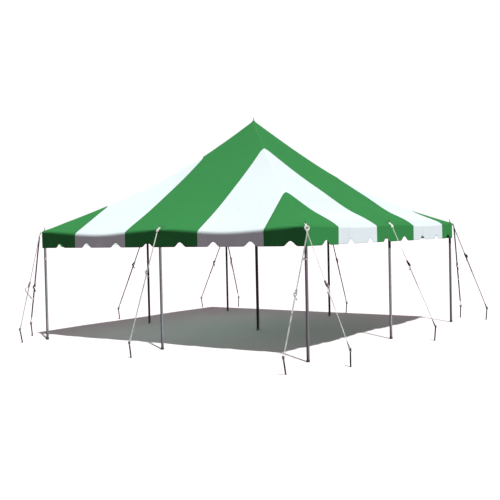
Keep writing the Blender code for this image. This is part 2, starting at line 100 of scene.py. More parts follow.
# The cloth's own detail
CORNER_ROUNDING = 0.024
TIP_ROUNDING = 0.050            # how far the tip of a stripe is rounded off along the hip
TIP_FADE = 0.17
TIP_REACH = 0.035
CLOTH = 0.0012                  # thickness
SEAM_WIDTH = 0.030
HEM_WIDTH = 0.014
END = BAY + EDGE
SKY = 6.0                       # a height above the whole roof
UP = Vector((0, 0, 1))


def mix(start, end, share):
    """The value that lies share of the way from start to end."""
    return start + (end - start) * share


def smooth(share):
    """0 below 0, 1 above 1, and an even S curve between."""
    share = min(max(share, 0.0), 1.0)
    return share * share * (3 - 2 * share)


def plan(side, across, out):
    """The ground plan x and y of a place on a side."""
    turn = side * math.pi / 2
    return (
        across * math.cos(turn) + out * math.sin(turn),
        across * math.sin(turn) - out * math.cos(turn),
    )


# Making pieces

def add_object(name, data):
    """A new object in the scene."""
    thing = bpy.data.objects.new(name, data)
    bpy.context.scene.collection.objects.link(thing)
    return thing


class Net:
    """The points, faces, finishes and surface coordinates of a piece that is being made."""

    def __init__(self):
        self.points = []
        self.faces = []
        self.slots = []
        self.places = []

    def point(self, place, surface=(0.0, 0.0)):
        self.points.append(tuple(place))
        self.places.append(surface)
        return len(self.points) - 1

    def face(self, corners, slot=0):
        """One face, of which corners that have run together count once."""
        kept = tuple(dict.fromkeys(corners))
        if len(kept) > 2:
            self.faces.append(kept)
            self.slots.append(slot)

    def ring(self, spots, length, shares=None):
        """A row of points at one length of a strip, across which they lie at shares."""
        shares = shares or [number / len(spots) for number in range(len(spots))]
        return [self.point(spot, (share, length)) for spot, share in zip(spots, shares)]

    def strip(self, first, second, slot=0, around=True):
        """Faces between two rows of points, which may be rings."""
        count = len(first)
        for number in range(count if around else count - 1):
            following = (number + 1) % count
            self.face(
                (first[number], second[number], second[following], first[following]), slot
            )

    def strips(self, rows, slot=0, around=True):
        """Faces over rows of points that follow one another."""
        for first, second in zip(rows, rows[1:]):
            self.strip(first, second, slot, around)

    def skin(self, rings, slot=0, closed=False):
        """Faces over rings that run back to the first one, or that have flat ends."""
        self.strips(rings, slot)
        if closed:
            self.strip(rings[-1], rings[0], slot)
        else:
            self.face(rings[0][::-1], slot)
            self.face(rings[-1], slot)

    def piece(self, name, finishes, slot, sharp):
        """Turn the net into an object that rides on the tent, sharp above an angle."""
        mesh = bpy.data.meshes.new(name)
        mesh.from_pydata(self.points, [], self.faces)
        for finish in finishes:
            mesh.materials.append(paints[finish])
        mesh.polygons.foreach_set("material_index", self.slots)
        layer = mesh.uv_layers.new(name="surface")
        flat = [value for loop in mesh.loops for value in self.places[loop.vertex_index]]
        layer.data.foreach_set("uv", flat)
        mesh.shade_smooth()
        if sharp:
            mesh.set_sharp_from_angle(angle=math.radians(sharp))
        thing = add_object(name, mesh)
        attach(thing, "root")
        return thing


def tangents(path, closed=False):
    """The direction of travel at each point of a path."""
    if closed:
        befores, afters = path[-1:] + path[:-1], path[1:] + path[:1]
    else:
        befores, afters = path[:1] + path[:-1], path[1:] + path[-1:]
    return [(after - before).normalized() for before, after in zip(befores, afters)]


def lengths(path):
    """How far along a path each of its points lies."""
    return [0.0, *accumulate((end - start).length for start, end in zip(path, path[1:]))]


def circle(middle, first, second, steps):
    """Points round an ellipse whose half axes are first and second."""
    angles = [2 * math.pi * step / steps for step in range(steps)]
    return [middle + first * math.cos(angle) + second * math.sin(angle) for angle in angles]


def ribbon(net, path, width, thickness, wide, slot=0, closed=False):
    """A flat woven strap along a path, with its width along wide."""
    half = width / 2
    bevel = thickness / 2
    section = [
        (half, 0.0), (half - bevel, bevel), (0.0, bevel), (bevel - half, bevel),
        (-half, 0.0), (bevel - half, -bevel), (0.0, -bevel), (half - bevel, -bevel),
    ]
    widths = wide if isinstance(wide, list) else [wide] * len(path)
    rings = []
    for place, along, length, side in zip(path, tangents(path, closed), lengths(path), widths):
        through = side.cross(along).normalized()
        side = along.cross(through).normalized()
        spots = [place + side * a + through * b for a, b in section]
        rings.append(net.ring(spots, length, [a + half for a, _ in section]))
    net.skin(rings, slot, closed)


def tube(net, path, radius, slot=0, closed=False, sides=10):
    """A round rope or wire along a path."""
    radii = radius if isinstance(radius, list) else [radius] * len(path)
    side = tangents(path, closed)[0].orthogonal().normalized()
    rings = []
    for place, along, length, size in zip(path, tangents(path, closed), lengths(path), radii):
        side = (side - along * side.dot(along)).normalized()
        spots = circle(place, side * size, along.cross(side) * size, sides)
        rings.append(net.ring(spots, length))
    net.skin(rings[::-1], slot, closed)


def turned(net, profile, at, slot=0, sides=32):
    """A turned part about the Z axis of the matrix at, from (radius, height) points."""
    path = [Vector((radius, 0, height)) for radius, height in profile]
    rings = []
    for (radius, height), length in zip(profile, lengths(path)):
        if radius < 0.00001:
            rings.append([net.point(at @ Vector((0, 0, height)), (0.0, length))] * sides)
            continue
        spots = circle(UP * height, Vector((radius, 0, 0)), Vector((0, radius, 0)), sides)
        rings.append(net.ring([at @ spot for spot in spots], length))
    net.strips(rings[::-1], slot)


def plate(net, outline, thickness, at, slot=0, bevel=0.0006):
    """A flat plate with chamfered edges, its outline in the matrix's XY plane."""
    corners = [Vector(corner) for corner in outline]
    centre = sum(corners, Vector((0, 0))) / len(corners)
    drawn_in = [corner - (corner - centre).normalized() * bevel for corner in corners]
    rings = []
    for ring, height in (
        (drawn_in, -thickness / 2), (corners, bevel - thickness / 2),
        (corners, thickness / 2 - bevel), (drawn_in, thickness / 2),
    ):
        rings.append([
            net.point(at @ Vector((*place, height)), tuple(corner))
            for place, corner in zip(ring, corners)
        ])
    net.skin(rings[::-1], slot)


def arc(centre, radius, start, end, steps):
    """Outline points on an arc, with its angles in degrees."""
    angles = [math.radians(mix(start, end, step / steps)) for step in range(steps + 1)]
    return [
        (centre[0] + radius * math.cos(angle), centre[1] + radius * math.sin(angle))
        for angle in angles
    ]


def axes(origin, x, y, z):
    """The matrix that takes local X, Y and Z to three directions."""
    return Matrix.Translation(origin) @ Matrix((x, y, z)).transposed().to_4x4()


# Finishes

class Finish:
    """A procedural material, built node by node."""

    def __init__(self, name, **uniform):
        self.material = bpy.data.materials.new(name)
        self.material.use_nodes = True
        self.tree = self.material.node_tree
        self.shader = self.tree.nodes["Principled BSDF"]
        for socket, value in uniform.items():
            self.connect(self.shader.inputs[socket.replace("_", " ")], value)

    def connect(self, socket, value):
        """Link a socket to another node's output, or set it."""
        if isinstance(value, bpy.types.NodeSocket):
            self.tree.links.new(value, socket)
        else:
            socket.default_value = (*value, 1.0) if socket.type == "RGBA" else value

    def node(self, kind, settings=None, **sockets):
        """Add a node, with its sockets set to values or linked to other nodes' outputs."""
        made = self.tree.nodes.new(f"ShaderNode{kind}")
        for name, value in (settings or {}).items():
            setattr(made, name, value)
        for name, value in sockets.items():
            self.connect(made.inputs[name.replace("_", " ")], value)
        return made

    def object_place(self):
        return self.node("TexCoord").outputs["Object"]

    def across_and_along(self):
        """A strip's own surface coordinates."""
        place = self.node("UVMap", {"uv_map": "surface"}).outputs["UV"]
        return self.node("SeparateXYZ", Vector=place).outputs[:2]

    def stretched(self, place, scale):
        return self.node("Mapping", Vector=place, Scale=scale).outputs["Vector"]

    def cloud(self, place, scale, detail=3.0, roughness=0.5):
        """Soft noise from 0 to 1."""
        return self.node(
            "TexNoise", Vector=place, Scale=scale, Detail=detail, Roughness=roughness
        ).outputs["Fac"]

    def between(self, value, low, high, first=0, last=1):
        """A value's range low to high turned into first to last."""
        made = self.node("MapRange", {"clamp": True}, Value=value)
        for number, limit in enumerate((low, high, first, last), start=1):
            made.inputs[number].default_value = limit
        return made.outputs["Result"]

    def sum(self, kind, first, second=0.0):
        """The result of a sum of one or two values."""
        made = self.node("Math", {"operation": kind})
        self.connect(made.inputs[0], first)
        self.connect(made.inputs[1], second)
        return made.outputs["Value"]

    def blend(self, factor, first, second, kind="MIX"):
        made = self.node("Mix", {"data_type": "RGBA", "blend_type": kind})
        for number, value in ((0, factor), (6, first), (7, second)):
            self.connect(made.inputs[number], value)
        return made.outputs[2]

    def fade(self, first, second, mask, low, high, most=1):
        """One colour that turns into another where a mask goes from low to high."""
        return self.blend(self.between(mask, low, high, 0, most), first, second)

    def bumps(self, *layers):
        """Bump layers, each (height, strength, distance)."""
        normal = None
        for height, strength, distance in layers:
            made = self.node("Bump", Strength=strength, Distance=distance, Height=height)
            if normal:
                self.connect(made.inputs["Normal"], normal)
            normal = made.outputs["Normal"]
        self.connect(self.shader.inputs["Normal"], normal)

    def colour(self, value):
        self.connect(self.shader.inputs["Base Color"], value)

    def rough(self, value):
        self.connect(self.shader.inputs["Roughness"], value)


VINYL = {"Roughness": 0.74, "Specular_IOR_Level": 0.08}


def darker(colour, share):
    """A colour at a share of its brightness."""
    return tuple(value * share for value in colour)


def vinyl(name, colour, pale, dark):
    """Coated cloth: a fine scrim, soft clouds of tone, faint creases and a little dirt."""
    finish = Finish(name, **VINYL)
    place = finish.object_place()
    tone = finish.fade(colour, pale, finish.cloud(place, 0.9, 4), 0.35, 0.65)
    tone = finish.fade(tone, dark, finish.cloud(place, 38, 5, 0.6), 0.45, 0.75, 0.35)
    streaks = finish.cloud(finish.stretched(place, (5, 5, 0.8)), 2.2, 6, 0.65)
    dirt = finish.between(streaks, 0.58, 0.8, 0, 0.22)
    finish.colour(finish.blend(dirt, tone, (0.22, 0.2, 0.16), "MULTIPLY"))
    finish.rough(finish.between(finish.cloud(place, 14, 5), 0.3, 0.7, 0.68, 0.80))
    yarns = [
        finish.node("TexWave", {"bands_direction": axis}, Vector=place, Scale=150).outputs["Fac"]
        for axis in "XYZ"
    ]
    scrim = finish.sum("ADD", yarns[0], finish.sum("ADD", yarns[1], yarns[2]))
    edges = finish.node("TexVoronoi", {"feature": "DISTANCE_TO_EDGE"}, Vector=place, Scale=2.4)
    creases = finish.between(edges.outputs["Distance"], 0.0, 0.02)
    finish.bumps(
        (finish.cloud(place, 3.5, 4), 0.25, 0.012), (creases, 0.06, 0.001), (scrim, 0.12, 0.0002)
    )
    return finish.material


def stitched_vinyl(name, colour, thread):
    """Coated cloth with two rows of stitches along its length."""
    finish = Finish(name, **VINYL)
    across, along = finish.across_and_along()
    rows = []
    for line in (0.15, 0.85):
        distance = finish.sum("ABSOLUTE", finish.sum("SUBTRACT", across, line))
        rows.append(finish.between(distance, 0.03, 0.055, 1, 0))
    seam = finish.sum("MAXIMUM", *rows)
    cycle = finish.sum("FRACT", finish.sum("MULTIPLY", along, 160.0))
    stitch = finish.sum("MULTIPLY", seam, finish.between(cycle, 0.62, 0.7, 1, 0))
    place = finish.object_place()
    tone = finish.blend(finish.cloud(place, 6, 5), colour, darker(colour, 0.86))
    finish.colour(finish.blend(stitch, tone, thread))
    finish.bumps(
        (seam, 0.35, 0.0006), (stitch, 0.5, 0.0008), (finish.cloud(place, 300, 2), 0.15, 0.0003)
    )
    return finish.material


def webbing(name, colour, dark):
    """Woven strap: a herringbone of yarns, firm edges and worn patches."""
    finish = Finish(name, Roughness=0.82, Sheen_Weight=0.25, Sheen_Roughness=0.5)
    across, along = finish.across_and_along()
    middle = finish.sum("ABSOLUTE", finish.sum("SUBTRACT", across, 0.012))
    slant = finish.sum(
        "ADD", finish.sum("MULTIPLY", along, 420.0), finish.sum("MULTIPLY", middle, 520.0)
    )
    yarn = finish.sum("SINE", finish.sum("MULTIPLY", slant, math.pi))
    ribs = finish.sum("SINE", finish.sum("MULTIPLY", across, 3600.0))
    weave = finish.between(finish.sum("ADD", yarn, ribs), -1.6, 1.6)
    wear = finish.cloud(finish.object_place(), 9, 6, 0.6)
    tone = finish.fade(colour, dark, wear, 0.4, 0.72)
    finish.colour(finish.blend(finish.between(weave, 0, 0.5, 0.45, 0), tone, dark))
    finish.bumps((weave, 0.6, 0.0005))
    return finish.material


def rope(name, colour, dark):
    """Twisted strands."""
    finish = Finish(name, Roughness=0.8, Sheen_Weight=0.2)
    around, along = finish.across_and_along()
    twist = finish.sum(
        "ADD", finish.sum("MULTIPLY", around, 6 * math.pi), finish.sum("MULTIPLY", along, 260.0)
    )
    strand = finish.between(finish.sum("SINE", twist), -1, 1)
    fuzz = finish.cloud(finish.object_place(), 160, 3)
    tone = finish.blend(finish.between(strand, 0, 0.5, 0.8, 0), colour, dark)
    finish.colour(finish.fade(tone, dark, fuzz, 0.4, 0.7, 0.3))
    finish.bumps((strand, 0.8, 0.001), (fuzz, 0.3, 0.0005))
    return finish.material


def galvanised(name, colour, shade, rough=0.42, valance_shadow_share=0.0, metallic=0.85):
    """Zinc-coated tube: spangled crystals, long drawing marks, grime near the ground.

    The painted shadow setting is how dark the tube is painted from just under the valance up, from
    0 to 1: a painted shadow of the valance.
    """
    finish = Finish(name, Roughness=rough, Metallic=metallic, Specular_IOR_Level=0.3)
    place = finish.object_place()
    crystals = finish.node("TexVoronoi", Vector=finish.stretched(place, (1, 1, 0.45)), Scale=85)
    spangle = finish.node("SeparateColor", Color=crystals.outputs["Color"]).outputs["Red"]
    tone = finish.fade(colour, shade, spangle, 0, 1, 0.55)
    drawn = finish.cloud(finish.stretched(place, (140, 140, 0.6)), 2.0, 4)
    tone = finish.fade(tone, shade, drawn, 0.45, 0.7, 0.4)
    stain = finish.cloud(finish.stretched(place, (1, 1, 0.3)), 11, 5, 0.62)
    tone = finish.fade(tone, shade, stain, 0.55, 0.75, 0.6)
    height = finish.node("SeparateXYZ", Vector=place).outputs["Z"]
    grime = finish.sum("MULTIPLY", finish.between(height, 0.02, 0.28, 1, 0), stain)
    tone = finish.blend(grime, tone, (0.07, 0.06, 0.05))
    # Painted shadow: the tube turns near black from just under the valance up, where the valance
    # shades it.
    if valance_shadow_share:
        tone = finish.fade(tone, (0.015, 0.015, 0.016), height, 1.70, 1.735, valance_shadow_share)
    finish.colour(tone)
    finish.rough(finish.between(spangle, 0, 1, rough - 0.08, rough + 0.12))
    finish.bumps((drawn, 0.12, 0.0004), (stain, 0.1, 0.0008))
    return finish.material


def worn_steel(name, colour, bright, metallic=0.7, rough=0.5, scale=60):
    """Forged or plated steel with a mottled skin and rubbed bright spots."""
    finish = Finish(name, Roughness=rough, Metallic=metallic)
    place = finish.object_place()
    skin = finish.cloud(place, scale, 6, 0.65)
    rub = finish.cloud(place, scale * 0.3, 4, 0.6)
    tone = finish.fade(colour, darker(colour, 0.55), skin, 0.35, 0.7)
    finish.colour(finish.fade(tone, bright, rub, 0.55, 0.68, 0.8))
    finish.rough(finish.between(skin, 0.3, 0.7, rough - 0.12, rough + 0.2))
    finish.bumps((skin, 0.3, 0.0006))
    return finish.material


def moulded(name, colour):
    """Moulded rubber or plastic with a fine grain."""
    finish = Finish(name, Roughness=0.6)
    place = finish.object_place()
    dust = finish.cloud(place, 24, 5, 0.6)
    dusty = tuple(value * 2.2 + 0.03 for value in colour)
    finish.colour(finish.fade(colour, dusty, dust, 0.4, 0.75, 0.5))
    finish.rough(finish.between(dust, 0.3, 0.7, 0.5, 0.72))
    finish.bumps((finish.cloud(place, 420, 3), 0.25, 0.0003))
    return finish.material


GREEN = (0.038, 0.258, 0.069)
WHITE = (0.76, 0.88, 0.90)
paints = {
    "green": vinyl("green vinyl", GREEN, (0.041, 0.272, 0.074), (0.033, 0.235, 0.061)),
    "white": vinyl("white vinyl", WHITE, (0.78, 0.89, 0.91), (0.72, 0.84, 0.86)),
    "green_seam": stitched_vinyl("stitched green", GREEN, (0.05, 0.2, 0.07)),
    "white_seam": stitched_vinyl("stitched white", WHITE, (0.6, 0.6, 0.58)),
    # Copies of one webbing, painted lighter or darker by how light falls. The tab paint is a
    # painted highlight; the grey and dark ones are painted shade.
    "tab": webbing("webbing painted light", (0.92, 0.92, 0.90), (0.72, 0.71, 0.69)),
    "strap": webbing("white webbing", (0.70, 0.73, 0.71), (0.36, 0.375, 0.36)),
    "shade_grey_strap": webbing("webbing painted grey for shade", (0.13, 0.128, 0.12), (0.05, 0.048, 0.045)),
    "shade_dark_strap": webbing("webbing painted dark for shade", (0.020, 0.019, 0.018), (0.009, 0.0085, 0.008)),
    "rope": rope("white rope", (0.93, 0.93, 0.91), (0.66, 0.65, 0.62)),
    # The poles: lit and shaded copies of one galvanised paint, painted lighter or darker by how
    # light falls on each, near black in shade.
    "pole": galvanised("galvanised steel", (0.50, 0.57, 0.58), (0.30, 0.35, 0.355)),
    "lit_pole_painted_shadow": galvanised(
        "bright steel with a painted shadow band", (0.74, 0.78, 0.78), (0.46, 0.49, 0.49), 0.42, 0.95
    ),
    "shaded_pole": galvanised("steel with a painted shadow band", (0.46, 0.49, 0.48), (0.27, 0.29, 0.285), 0.42, 0.95),
    "shade_grey_pole": galvanised("steel painted grey for shade", (0.40, 0.40, 0.43), (0.25, 0.25, 0.27), 0.45, 0.4),
    "shade_painted_pole": galvanised(
        "steel painted dark for shade", (0.015, 0.014, 0.014), (0.009, 0.0085, 0.0085), 0.6, 0.0, 0.1
    ),
    "stake": worn_steel("forged steel", (0.022, 0.022, 0.024), (0.10, 0.10, 0.10)),
    "plated": worn_steel("plated steel", (0.52, 0.52, 0.50), (0.75, 0.75, 0.73), 0.9, 0.34, 90),
    "black_steel": worn_steel("black steel", (0.035, 0.035, 0.038), (0.14, 0.14, 0.14)),
    "foot": moulded("grey rubber", (0.10, 0.10, 0.105)),
    "grip": moulded("moulded grip", (0.045, 0.045, 0.05)),
}


# The roof

def edge_out(side, across):
    """How far out the eave lies."""
    share = min(abs(across) / BAY, 1.0)
    return END + EAVE_BULGE[side % 2] * math.sin(math.pi * share) ** 2


def roll_size(side, across):
    """The radius of the rounded shoulder, which each pole makes smaller near it."""
    nearest = min(abs(across), abs(abs(across) - BAY))
    return mix(POLE_ROLL, EAVE_ROLL[side % 2], smooth(nearest / POLE_REACH))


POLES = {}
for number, side_name in enumerate(SIDES):
    POLES[side_name] = Vector(plan(number, 0, BAY))
    POLES[CORNERS[number]] = Vector(plan(number, BAY, BAY))


def rays(x, y, limit, size, fade, rise, waves):
    """Folds that run out from a point, from waves of (share, count, turn) round it."""
    reach = math.hypot(x, y)
    if reach >= limit:
        return 0.0
    angle = math.atan2(y, x)
    wave = sum(share * math.cos(count * angle + turn) for share, count, turn in waves)
    return size * math.exp(-reach / fade) * min(reach / rise, 1) * wave


def wrinkle(x, y):
    """Small folds in the roof: rays from the poles and the peak, and soft unevenness."""
    total = noise.noise(Vector((x * 1.1, y * 1.1, 3.7))) * 0.005
    total += noise.noise(Vector((x * 3.1, y * 3.1, 9.2))) * 0.0018
    for number, pole in enumerate(POLES.values()):
        waves = ((1, 11, number), (0.5, 19, 2 * number))
        total += rays(x - pole.x, y - pole.y, 1.6, 0.0036, 0.34, 0.12, waves)
    return total + rays(x, y, 2.2, 0.0016, 0.35, 0.15, ((1, 14, 0.6), (0.6, 23, 0)))


def roof_height(side, across, out):
    """The height of the roof's upper face inside its rounded shoulder."""
    share = out / BAY
    lean = across / out
    hip = HIP_SAG[side if lean > 0 else side - 1]
    nearness = abs(lean) ** 1.5
    depth, skew = (mix(*sags, nearness) for sags in zip(MIDDLE_SAG[side % 2], hip))
    turn = math.pi * min(share, 1.0)
    sag = depth * math.sin(turn) + skew * math.sin(2 * turn)
    between = math.sin(math.pi * min(abs(lean), 1.0))
    dip = EAVE_DIP[side % 2] * between ** 2 * smooth((share - 0.55) / 0.45)
    scoop = EAVE_SCOOP[side % 2] * between * smooth((share - 0.62) / 0.22)
    scoop *= 1 - smooth((share - 0.84) / 0.14)
    return mix(PEAK_HEIGHT, GROMMET_HEIGHT, share) - sag - dip - scoop


def rounded(x, y):
    """A plan place drawn in to the rounded corner of the eave."""
    inner = END - CORNER_ROUNDING
    over_x = abs(x) - inner
    over_y = abs(y) - inner
    reach = math.hypot(over_x, over_y)
    if min(over_x, over_y) <= 0 or reach <= CORNER_ROUNDING:
        return x, y
    size = CORNER_ROUNDING / reach
    return math.copysign(inner + over_x * size, x), math.copysign(inner + over_y * size, y)


def roof_point(side, across, out):
    """A point of the roof's upper face."""
    x, y = plan(side, across, out)
    return Vector((x, y, roof_height(side, across, out) + wrinkle(x, y)))


def shoulder_start(side, foot):
    """The across and out where a column bends into the shoulder, and the shoulder's radius."""
    edge = edge_out(side, foot)
    roll = roll_size(side, foot)
    out = edge - roll + roll * math.sin(ROLL_START)
    return foot * out / edge if abs(foot) > END - 0.001 else foot, out, roll


def shoulder_point(side, foot, angle=math.pi / 2):
    """A point of the rounded shoulder above a foot of the roof, or the shoulder's edge."""
    across, first, roll = shoulder_start(side, foot)
    out = first + roll * (math.sin(angle) - math.sin(ROLL_START))
    rise = roll * (math.cos(angle) - math.cos(ROLL_START))
    near_end = smooth((abs(foot) - (END - 0.08)) / 0.08)
    along = mix(foot, math.copysign(out, foot), near_end)
    x, y = rounded(*plan(side, along, out))
    return Vector((x, y, roof_point(side, across, first).z + rise))


def spread(start, end, steps, gather=1.0):
    """Even steps from start to end, or steps that gather towards the end."""
    return [mix(start, end, 1 - (1 - step / steps) ** gather) for step in range(steps + 1)]


def mirrored(values):
    """Values on the right of a side, as they are on its left."""
    return [-value for value in reversed(values)]


def roof_columns(side):
    """The roof's columns on one side: (top, foot, finish of the cell to its right)."""
    left, right = MITRES[side - 1], MITRES[side]
    seams = [share * BAY for share in EAVE_SEAMS[side]]
    limit = END / BAY
    start = PEAK_HOLE / BAY
    corner, hip, rise = 15, 22, 23
    bands = [
        (mirrored(spread(left[1], limit, corner, 1.5)),
         mirrored(spread(-seams[0], END, corner, 1.5))),
        (spread(-left[1], -left[0], hip), spread(seams[0], seams[1], hip)),
        (spread(-left[0], -start, rise) + spread(start, right[0], rise),
         spread(seams[1], seams[2], 2 * rise + 1)),
        (spread(right[0], right[1], hip), spread(seams[2], seams[3], hip)),
        (spread(right[1], limit, corner, 1.5), spread(seams[3], END, corner, 1.5)),
    ]
    columns = []
    for number, (tops, feet) in enumerate(bands):
        columns = columns[:-1]
        for top, foot in zip(tops, feet):
            columns.append(((top * BAY, abs(top) * BAY), foot, number % 2))
    return columns


# How far down a column its rows lie, and what turns under at the eave
ROWS = [1 - (1 - row / 56) ** 1.15 for row in range(57)]
SHOULDER = [mix(ROLL_START, math.pi / 2, step / 9) for step in range(1, 10)]
LIP = [0.008, 0.022]
LIP_INSET = 0.0016


def tip_drop(side, top):
    """How far down the hip a stripe's tip is rounded off, for a column that starts at top."""
    share = top[1] / BAY
    mitres = MITRES[side if top[0] > 0 else side - 1]
    return TIP_ROUNDING * max(math.exp(-((share - tip) / TIP_REACH) ** 2) for tip in mitres)


def column_points(side, top, foot):
    """A column of roof points from a hip down to the eave and over its shoulder."""
    start, first, _ = shoulder_start(side, foot)
    drop = tip_drop(side, top)
    length = math.hypot(start - top[0], first - top[1])
    points = []
    for share in ROWS:
        near_tip = max(1 - share * length / TIP_FADE, 0.0) ** 2
        across = mix(top[0], start, share) + math.copysign(drop * near_tip, top[0])
        out = mix(top[1], first, share) + drop * near_tip
        points.append(roof_point(side, across, max(out, abs(across))))
    points += [shoulder_point(side, foot, angle) for angle in SHOULDER]
    last = points[-1]
    inset = Vector((last.x, last.y, 0)).normalized() * LIP_INSET
    return points + [last - inset - UP * depth for depth in LIP]


def make_roof():
    """The whole roof as one sheet; returns it with its columns of points, side by side."""
    net = Net()
    numbers = {}

    def numbered(place):
        key = tuple(round(value, 4) for value in place)
        if key not in numbers:
            numbers[key] = net.point(place, (place.x, place.y))
        return numbers[key]

    grids = []
    for side in range(4):
        columns = roof_columns(side)
        grid = [column_points(side, top, foot) for top, foot, _ in columns]
        grids.append((columns, grid))
        indices = [[numbered(place) for place in column] for column in grid]
        for (_, _, finish), left, right in zip(columns, indices, indices[1:]):
            for row in range(len(left) - 1):
                net.face((left[row], left[row + 1], right[row + 1], right[row]), finish)
    roof = net.piece("canopy", ["green", "white"], "green_vinyl", 0)
    thicken(roof)
    return roof, grids


def thicken(sheet):
    """Give an open sheet the cloth's thickness, on its lower side."""
    solid = sheet.modifiers.new("thickness", "SOLIDIFY")
    solid.thickness = CLOTH
    solid.offset = -1


def make_seams(grids):
    """Raised, stitched bands where two colours of cloth are welded together."""
    net = Net()
    for columns, grid in grids:
        for number in range(1, len(columns)):
            before, here = columns[number - 1][2], columns[number][2]
            if before == here:
                continue
            column = grid[number]
            green = grid[number - 1 if before == 0 else number + 1]
            rings = []
            for place, beside, following, length in zip(
                column[:-2], green, column[1:], lengths(column)[1:]
            ):
                gap = beside - place
                far = place + gap * min(SEAM_WIDTH / max(gap.length, 0.0001), 1.0)
                normal = (following - place).normalized().cross(far - place).normalized()
                if normal.z <= -0.2 or not normal.length:
                    normal = UP
                if normal.dot(Vector((place.x, place.y, 1.0))) < 0:
                    normal = -normal
                edge = (far - place).normalized() * 0.00045
                lift = normal * 0.0014
                spots = (
                    place - edge - lift * 0.4, place + lift, far + lift, far + edge - lift * 0.4
                )
                rings.append(net.ring(spots, length, (0.0, 0.02, 0.98, 1.0)))
            net.strips(rings, around=False)
    return net.piece("canopy_seams", ["green_seam"], "green_vinyl", 50)


# The valance

def hem_height(side, across):
    """The height of a valance's lower edge, with its rounded notches."""
    pitch = 2 * BAY / NOTCHES
    first = -BAY + pitch / 2 + NOTCH_SHIFT[side]
    distance = min(abs(across - first - pitch * number) for number in range(NOTCHES))
    if distance >= NOTCH_HALF_WIDTH:
        return VALANCE_BOTTOM
    wave = 1 + math.cos(math.pi * distance / NOTCH_HALF_WIDTH)
    return VALANCE_BOTTOM + NOTCH_HEIGHT * wave / 2


def valance_stops(side):
    """Where the valance's columns stand, and which finish is to the right of each."""
    seams = [share * BAY for share in EAVE_SEAMS[side]]
    stops = {round(-END + step * 2 * END / 260, 5) for step in range(261)}
    for seam in seams:
        stops = {stop for stop in stops if abs(stop - seam) > 0.008}
    for hand in (-1, 1):
        for inside in (0.006, 0.012, 0.018):
            stops.add(round(hand * (END - inside), 5))
    stops |= {round(seam, 5) for seam in seams}
    ordered = sorted(stops)
    return [(stop, sum(stop >= round(seam, 5) for seam in seams) % 2) for stop in ordered]


def valance_place(side, across, height, top):
    """A point on the valance's outer face."""
    drop = max(top - height, 0.0)
    sway = smooth(drop / 0.36)
    ripple = 0.55 * math.sin(across * 7.9 + side * 2.0)
    ripple += 0.35 * math.sin(across * 17.3 + 1.3 + side)
    ripple += 0.9 * noise.noise(Vector((across * 2.3, side * 5.0, drop * 1.2)))
    near_end = smooth((END - abs(across)) / 0.25)
    out = edge_out(side, across) + ripple * 0.010 * sway * near_end
    folds = math.exp(-((END - abs(across) - 0.16) / 0.05) ** 2)
    out -= 0.006 * folds * sway
    x, y = rounded(*plan(side, across, out))
    return Vector((x, y, height))


VALANCE_ROWS = [0, 0.008] + [row / 13 for row in range(1, 13)] + [0.992, 1]


def make_valance():
    """One hanging strip right round the eave, with its bound lower edge."""
    net, hem = Net(), Net()
    rings, hems, finishes = [], [], []
    for side in range(4):
        outward = Vector(plan(side, 0, 1)).to_3d()
        outside, inside = 0.0012, -CLOTH - 0.0012
        for across, finish in valance_stops(side)[:-1]:
            run = 2 * END * side + across
            top = shoulder_point(side, across).z + 0.001
            bottom = hem_height(side, across)
            heights = [mix(top, bottom, share) for share in VALANCE_ROWS]
            rings.append([
                net.point(valance_place(side, across, height, top), (run, height))
                for height in heights
            ])
            finishes.append(finish)
            low = valance_place(side, across, bottom, top)
            high = valance_place(side, across, bottom + HEM_WIDTH, top)
            middle, under = mix(high, low, 0.5), low - UP * 0.0012
            spots = [spot + outward * out for spot, out in (
                (high, outside), (middle, outside + 0.0003), (under, outside),
                (under, inside), (middle, inside - 0.0003), (high, inside),
            )]
            hems.append(hem.ring(spots, run, (0.0, 0.5, 1.0, 1.0, 0.5, 0.0)))
    for number, finish in enumerate(finishes):
        following = (number + 1) % len(rings)
        net.strip(rings[following], rings[number], finish, around=False)
        hem.strip(hems[number], hems[following], finish, around=False)
    valance = net.piece("valance", ["green", "white"], "white_vinyl", 0)
    thicken(valance)
    return valance, hem.piece("valance_hem", ["green_seam", "white_seam"], "white_vinyl", 50)


# On the roof

def drape(tree, x, y, lift):
    """The place just above the roof at a ground plan place, and the roof's slope there."""
    hit, normal, _, _ = tree.ray_cast(Vector((x, y, SKY)), -UP)
    if hit is None:
        return Vector((x, y, GROMMET_HEIGHT)), UP
    normal = normal if normal.z > 0 else -normal
    return hit + normal * lift, normal


def patch(net, tree, centre):
    """A rounded reinforcing patch that lies on the roof round a pole."""
    radius, hole, steps = 0.095, 0.010, 40
    limit = END - POLE_ROLL * 0.45
    rings = []
    for share, lift, inset in (
        (0.0, 0.0016, 0.0), (0.3, 0.0016, 0.2), (0.62, 0.0016, 0.5), (0.9, 0.0016, 0.9),
        (0.985, 0.0014, 0.98), (1.0, -0.0005, 1.0),
    ):
        ring = []
        for step in range(steps):
            angle = 2 * math.pi * step / steps
            direction = Vector((math.cos(angle), math.sin(angle)))
            square = 1 / max(abs(direction.x), abs(direction.y)) ** 0.55
            reach = mix(hole, radius * square, share)
            x, y = (min(max(value, -limit), limit) for value in centre + direction * reach)
            ring.append(net.point(drape(tree, x, y, lift)[0], (inset, angle * reach)))
        rings.append(ring)
    net.strips(rings)


def grommet(net, centre, normal):
    """A rolled metal eyelet round a spike."""
    side = normal.orthogonal().normalized()
    turned(net, [
        (0.0088, -0.003), (0.0088, 0.0012), (0.0100, 0.0030), (0.0125, 0.0034),
        (0.0160, 0.0024), (0.0178, 0.0006), (0.0180, -0.0012),
    ], axes(centre, side, normal.cross(side), normal), 0, 28)


